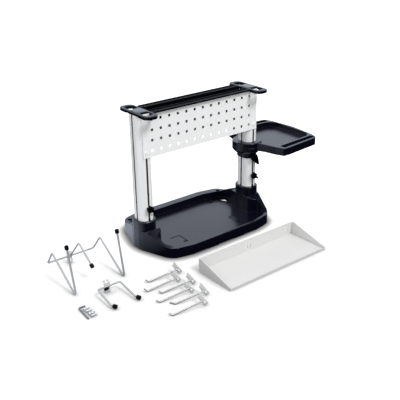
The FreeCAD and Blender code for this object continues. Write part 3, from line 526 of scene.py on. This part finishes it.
def bent_line(points, bend_radius):
    """A wire's centre line, in metres, with each inner corner bent to one radius."""
    steps = 6
    spots = [Vector(point) / MM_PER_METRE for point in points]
    line = [spots[0]]
    for before, corner, after in zip(spots, spots[1:], spots[2:]):
        into = (corner - before).normalized()
        out = (after - corner).normalized()
        turn = into.angle(out)
        reach = bend_radius * math.tan(turn / 2)
        centre = corner + (out - into).normalized() * (bend_radius / math.cos(turn / 2))
        enter = corner - into * reach - centre
        leave = corner + out * reach - centre
        for step in range(steps + 1):
            share = step / steps
            first = math.sin((1 - share) * turn) / math.sin(turn)
            last = math.sin(share * turn) / math.sin(turn)
            line.append(centre + enter * first + leave * last)
    line.append(spots[-1])
    return line


def wire(name, points, radius, bend_radius, stands_for):
    """Round wire bent through the points."""
    begin()
    bpy.ops.curve.primitive_nurbs_path_add()
    shape = bpy.context.object.data
    shape.splines.clear()
    line = bent_line(points, bend_radius)
    run = shape.splines.new("POLY")
    run.points.add(len(line) - 1)
    for spot, point in zip(line, run.points):
        point.co = (*spot, 1)
    shape.dimensions = "3D"
    shape.bevel_depth = radius
    shape.bevel_resolution = 4
    shape.use_fill_caps = True
    bpy.ops.object.convert(target="MESH")
    settle(bpy.context.object, name, WIRE, stands_for, angle=50)


def rubber_cap(end, towards):
    """A rubber cap on a wire's end: a rounded nose and a rolled collar at its mouth."""
    radius = 0.0072
    long = 0.014
    past_end = 0.005
    begin()
    end, towards = Vector(end) / MM_PER_METRE, Vector(towards) / MM_PER_METRE
    along = (end - towards).normalized()
    middle = end + along * (past_end - long / 2)
    bpy.ops.mesh.primitive_cylinder_add(vertices=24, radius=radius, depth=long, location=middle,
                                        rotation=along.to_track_quat("Z", "Y").to_euler())
    piece = bpy.context.object
    edit(piece)
    choose(piece, "FACE", lambda face: face.normal.z > 0.9)
    bpy.ops.mesh.bevel(offset=0.003, segments=4, affect="EDGES")
    choose(piece, "FACE", lambda face: face.normal.z < -0.9)
    bpy.ops.mesh.inset(thickness=0.0016, depth=0)
    bpy.ops.mesh.inset(thickness=0.0012, depth=0.0014)
    leave_edit()
    return piece


def claw(wide):
    """A tab that hooks into a square hole: out along X, then up."""
    reach = 0.0055
    thick = 0.0022
    tall = 0.006
    tab = block((0, -wide / 2, 0), (reach, wide / 2, thick))
    edit(tab)
    choose(tab, "FACE", lambda face: face.normal.x > 0.9)
    bpy.ops.mesh.extrude_region_move(TRANSFORM_OT_translate={"value": (thick, 0, 0)})
    choose(tab, "FACE", lambda face: face.normal.z > 0.9 and face.calc_center_median().x > reach)
    bpy.ops.mesh.extrude_region_move(TRANSFORM_OT_translate={"value": (0, 0, tall)})
    leave_edit()
    soften_edges(tab, width=0.0005)
    return tab


def claw_plate(wide, tall, thick):
    """A rounded plate with two claws; X is its normal and Z its length."""
    claw_wide = wide * 0.42
    claw_start = thick * 0.8
    upper = tall / 2 - 0.004
    lower = -tall * 0.12
    plate = block((0, -wide / 2, -tall / 2), (thick, wide / 2, tall / 2))

    def across(edge):
        first, last = (vertex.co for vertex in edge.verts)
        return abs(first.x - last.x) > thick / 2
    round_off(plate, across, width=0.003, segments=4)
    soften_edges(plate, width=0.0004)
    tabs = []
    for level in (upper, lower):
        tab = claw(claw_wide)
        tab.data.transform(Matrix.Translation((claw_start, 0, level)))
        tabs.append(tab)
    return joined(plate, *tabs)


def pose_at(origin, forward, up):
    """A matrix whose Z runs up and whose X is as near to forward as it can be."""
    up = Vector(up).normalized()
    forward = Vector(forward)
    forward = (forward - up * forward.dot(up)).normalized()
    left = up.cross(forward)
    pose = Matrix((forward, left, up)).transposed().to_4x4()
    pose.translation = Vector(origin) / MM_PER_METRE
    return pose


def rest_on_floor(piece):
    """Moves a mesh up or down until its lowest point is just clear of the floor."""
    lowest = min(vertex.co.z for vertex in piece.data.vertices)
    piece.data.transform(Matrix.Translation((0, 0, FLOOR_GAP - lowest)))


# Each hook's bend, its joint to the plate and its tip, then the plate's high and low ends.
HOOKS = [
    ((-398, -243, 3), (-286, -255, 15), (-406, -234, 10), (-286, -238, 31), (-273, -267, 2)),
    ((-436, -290, 3), (-323, -299, 15), (-444, -284, 12), (-323, -283, 31), (-309, -315, 2)),
    ((-404, -329, 3), (-292, -342, 15), (-412, -323, 10), (-292, -328, 29), (-280, -360, 2)),
    ((-440, -370, 3), (-328, -380, 15), (-448, -360, 7), (-328, -363, 22), (-316, -397, 2)),
    ((-408, -410, 3), (-300, -424, 15), (-416, -393, 3), (-300, -409, 31), (-289, -442, 2)),
    ((-452, -457, 3), (-340, -468, 15), (-460, -448, 9), (-340, -454, 29), (-329, -489, 2)),
]
# Added to the line of a hook's wire, this gives the way its plate's claws point.
PLATE_LEAN = Vector((0.5, 0.65, -0.37))


def hooks():
    """Six wire hooks, each with a plate whose claws hook into the panel's holes."""
    model = claw_plate(wide=0.019, tall=0.039, thick=0.0018)
    hole = block((-0.005, -0.0036, -0.0128), (0.01, 0.0036, -0.0055))
    carve(model, hole)
    for number, spots in enumerate(HOOKS, 1):
        bend, joint, tip, high, low = (Vector(spot) for spot in spots)
        wire(f"hook_{number}_wire", [tip, bend, joint], radius=0.0026, bend_radius=0.005,
             stands_for=[f"hook_wire_{number}"])
        lean = (joint - bend).normalized() + PLATE_LEAN
        plate = twin(model, pose_at(joint, lean, high - low))
        rest_on_floor(plate)
        settle(plate, f"hook_{number}_plate", SHEET_STEEL,
               [f"hook_plate_{number}"])
    bpy.data.objects.remove(model, do_unlink=True)


CRADLE_PATH = [(-633, -126, 170), (-633, -163, -6), (-633, -8, 97), (-633, 40, 36),
               (-443, 55, 25), (-443, -3, 93), (-443, -161, -6), (-443, -128, 169)]
CRADLE_MIDDLE = [(-538, 45.6, 34.5), (-538, -24, 111), (-538, -109, 54)]


def cradle():
    """The wire cradle with its middle arm, rubber caps and claw plate."""
    wire("cradle_rods", CRADLE_PATH, radius=0.0036, bend_radius=0.009,
         stands_for=["cradle_wire"])
    wire("cradle_middle_rod", CRADLE_MIDDLE, radius=0.0034, bend_radius=0.009,
         stands_for=["cradle_mid_wire"])
    caps = [rubber_cap(CRADLE_PATH[0], CRADLE_PATH[1]),
            rubber_cap(CRADLE_PATH[-1], CRADLE_PATH[-2]),
            rubber_cap(CRADLE_MIDDLE[-1], CRADLE_MIDDLE[-2])]
    settle(joined(*caps), "cradle_caps", TIP_RUBBER, ["cradle_tips"])
    plate = claw_plate(wide=0.021, tall=0.045, thick=0.002)
    plate.data.transform(pose_at((-543, 50.5, 24.6), forward=(0, 1, 0), up=(0, 0.12, 1)))
    hole = block((-0.548, 0.04, 0.008), (-0.538, 0.07, 0.018))
    carve(plate, hole)
    rest_on_floor(plate)
    settle(plate, "cradle_claw_plate", SHEET_STEEL, ["cradle_plate"])


BRACKET_PATH = [(-571, -311, 9), (-581, -296, 11), (-577, -210, 25), (-492, -210, 25),
                (-491, -299, 11), (-483, -314, 9)]


def bracket_plate():
    """An upright plate with two claws, each on a short stem."""
    front = -0.2068
    back = -0.2046
    claw_wide = 0.0082
    plate = block((-0.5515, front, FLOOR_GAP), (-0.5285, back, 0.034))
    tabs = []
    for x in (-0.5472, -0.5328):
        tab = claw(claw_wide)
        turn = Matrix.Rotation(math.pi / 2, 4, "Z")
        tab.data.transform(Matrix.Translation((x, -0.2052, 0.036)) @ turn)
        stem = block((x - claw_wide / 2, front, 0.0335), (x + claw_wide / 2, back, 0.0382))
        tabs += [tab, stem]
    soften_edges(plate, width=0.0004)
    return joined(plate, *tabs)


def bracket():
    """The U-shaped wire bracket with rubber caps, a plate behind it and the plate's pad."""
    wire("bracket_rod", BRACKET_PATH, radius=0.0032, bend_radius=0.007,
         stands_for=["bracket_wire"])
    caps = [rubber_cap(BRACKET_PATH[0], BRACKET_PATH[1]),
            rubber_cap(BRACKET_PATH[-1], BRACKET_PATH[-2])]
    settle(joined(*caps), "bracket_caps", TIP_RUBBER, ["bracket_tips"])
    settle(bracket_plate(), "bracket_claw_plate", SHEET_STEEL,
           ["bracket_plate"])
    pad_top = 0.0195
    pad = block((-0.5535, -0.2125, 0.0125), (-0.5355, -0.2066, pad_top))
    round_off(pad, upright, width=0.0022, segments=3)
    round_off(pad, level_edge(pad_top), width=0.0015, segments=3)
    settle(pad, "bracket_pad", TIP_RUBBER)


post_cap(-1)
post_cap(1)
hooks()
cradle()
bracket()


# Stage, lights and camera

WHITE = (1, 1, 1, 1)
GROUND_LEVEL = -0.0005


def openness(tree, place):
    """The mask of painted contact shade: 1 on the open floor, falling close to what stands
    there, and most beside the base.
    """
    reach = 0.034
    extra_depth = 2.2
    corner = tree.add("ShaderNodeAmbientOcclusion", samples=8)
    corner.inputs["Distance"].default_value = reach
    by_base = tree.maths("MULTIPLY", tree.rise(place[1], -0.235, -0.2),
                         tree.rise(place[0], -0.42, -0.36))
    depth = tree.maths("ADD", tree.maths("MULTIPLY", by_base, extra_depth), 1.0)
    return tree.maths("POWER", corner.outputs["AO"], depth)


def below_opening(tree, place):
    """1 on the floor below the opening at the base's back right, and 0 elsewhere: the patch
    where painted light takes away the floor's shade under the base.
    """
    fade = 0.005
    inside = 1.0
    for along, low, high in ((place[0], 0.1, 0.262), (place[1], 0.03, 0.16)):
        inside = tree.maths("MULTIPLY", inside, tree.rise(along, low, low + fade))
        inside = tree.maths("MULTIPLY", inside, tree.fall(along, high, high + fade))
    return inside


def floor_glow(tree, place, near, below):
    """Painted light for the camera: the floor is lifted towards white, more behind the stand,
    where its shadow falls, and less in front and near things.
    """
    opening_painted_light = 0.45
    behind = tree.maths("ADD", tree.maths("MULTIPLY", place[0], 0.5), place[1])
    # Painted light: stronger behind the stand, to cover its shadow there.
    lift = tree.span(behind, -0.3, 0.02, to_low=0.14, to_high=0.55)
    lift = tree.maths("MULTIPLY", lift, near)
    # Painted light: the floor under the base's opening is lifted towards white.
    return tree.maths("ADD", lift, tree.maths("MULTIPLY", below, opening_painted_light))


def floor_in_reflections(tree, place):
    """Nearly black, but bright to the left of the stand, as far as a little way behind it."""
    floor_level = 0.02
    aside = tree.maths("ADD", tree.maths("MULTIPLY", place[0], -0.8), place[1])
    patch = tree.maths("MULTIPLY", tree.rise(aside, 0.12, 0.36), tree.fall(place[1], 0.2, 0.6))
    return tree.maths("ADD", patch, floor_level)


def ground():
    """A pale floor: lifted to white for the camera, dim for light it sends on to the object,
    with painted shade close to what stands on it and painted light behind the stand and under
    the base's opening.
    """
    pale = (0.72, 0.72, 0.725, 1)
    shaded = (0.1, 0.095, 0.09, 1)
    reflected_tint = (0.84, 0.93, 1.1, 1)
    bounce_strength = 0.35
    begin()
    bpy.ops.mesh.primitive_plane_add(size=14, location=(0, 0, GROUND_LEVEL))
    floor = bpy.context.object
    floor.name = "ground"
    material = bpy.data.materials.new("pale_ground")
    material.use_nodes = True
    tree = Tree(material.node_tree)
    shader = material.node_tree.nodes[SHADER]
    seen = tree.add("ShaderNodeLightPath")
    place = object_axes(tree)
    below = below_opening(tree, place)
    near = tree.maths("MAXIMUM", openness(tree, place), below)
    # Painted shade: the floor's colour darkens towards the shaded colour close to what stands on
    # it.
    tree.feed(shader.inputs["Base Color"], tree.mix(near, shaded, pale))
    shader.inputs["Roughness"].default_value = 0.9
    shader.inputs["Specular IOR Level"].default_value = 0.0
    glow = tree.add("ShaderNodeEmission")
    tree.feed(glow.inputs["Strength"],
              tree.maths("MULTIPLY", seen.outputs["Is Camera Ray"],
                         floor_glow(tree, place, near, below)))
    lit = tree.feed_all(tree.add("ShaderNodeAddShader"), shader, glow)
    bounce = tree.add("ShaderNodeEmission", Strength=bounce_strength)
    lit = tree.mix_shaders(seen.outputs["Is Diffuse Ray"], lit, bounce)
    mirror = tree.add("ShaderNodeEmission")
    tree.feed(mirror.inputs["Strength"], floor_in_reflections(tree, place))
    mirror.inputs["Color"].default_value = reflected_tint
    lit = tree.mix_shaders(seen.outputs["Is Glossy Ray"], lit, mirror)
    tree.feed(material.node_tree.nodes["Material Output"].inputs["Surface"], lit)
    floor.data.materials.append(material)


def sky():
    """White for the camera; for reflections white behind and above, dark in front and low."""
    reflected_tint = (0.88, 0.95, 1.09, 1)
    world = bpy.data.worlds.new("studio")
    bpy.context.scene.world = world
    world.use_nodes = True
    tree = Tree(world.node_tree)
    backdrop = world.node_tree.nodes["Background"]
    seen = tree.add("ShaderNodeLightPath")
    facing = tree.axes(tree.add("ShaderNodeTexCoord").outputs["Generated"])
    behind = tree.maths("ADD", tree.maths("MULTIPLY", facing[1], 0.8), facing[2])
    bright = tree.span(behind, -0.25, 0.45, to_low=0.04, to_high=1.25)
    fill = tree.span(facing[0], -1.0, 0.0, to_low=1.4, to_high=0.78)
    plain = tree.mix(seen.outputs["Is Camera Ray"], fill, WHITE)
    strength = tree.mix(seen.outputs["Is Glossy Ray"], plain, bright)
    tree.feed(backdrop.inputs["Strength"], strength)
    tint = tree.mix(seen.outputs["Is Glossy Ray"], WHITE, reflected_tint)
    tree.feed(backdrop.inputs["Color"], tint)


def key_light():
    """A soft sun from high in front, slightly to the right."""
    spot = Vector((0.4, -1.56, 2.2))
    aim = Vector((0, 0, 0.2))
    sun = bpy.data.lights.new("key", "SUN")
    sun.energy = 1.8
    sun.angle = math.radians(17)
    light = bpy.data.objects.new("key", sun)
    bpy.context.scene.collection.objects.link(light)
    light.location = spot
    light.rotation_euler = (aim - spot).to_track_quat("-Z", "Y").to_euler()


def viewpoint():
    """The photograph's view, fitted to the panel's hole grid."""
    spot = (-1.4512, -1.8933, 1.1941)
    turn, rise, roll = (math.radians(angle) for angle in (-37.803, 24.4476, -0.7863))
    back = Vector((math.sin(turn) * math.cos(rise), -math.cos(turn) * math.cos(rise),
                   math.sin(rise)))
    right = Vector((math.cos(turn), math.sin(turn), 0))
    up = back.cross(right)
    side = right * math.cos(roll) + up * math.sin(roll)
    top = up * math.cos(roll) - right * math.sin(roll)
    view = bpy.data.cameras.new("viewpoint")
    view.sensor_width = 36
    view.lens = 59.53
    view.clip_end = 50
    camera = bpy.data.objects.new("viewpoint", view)
    bpy.context.scene.collection.objects.link(camera)
    pose = Matrix((side, top, back)).transposed().to_4x4()
    pose.translation = spot
    camera.matrix_world = pose
    bpy.context.scene.camera = camera


ground()
sky()
key_light()
viewpoint()
bpy.context.scene.view_settings.view_transform = "Standard"
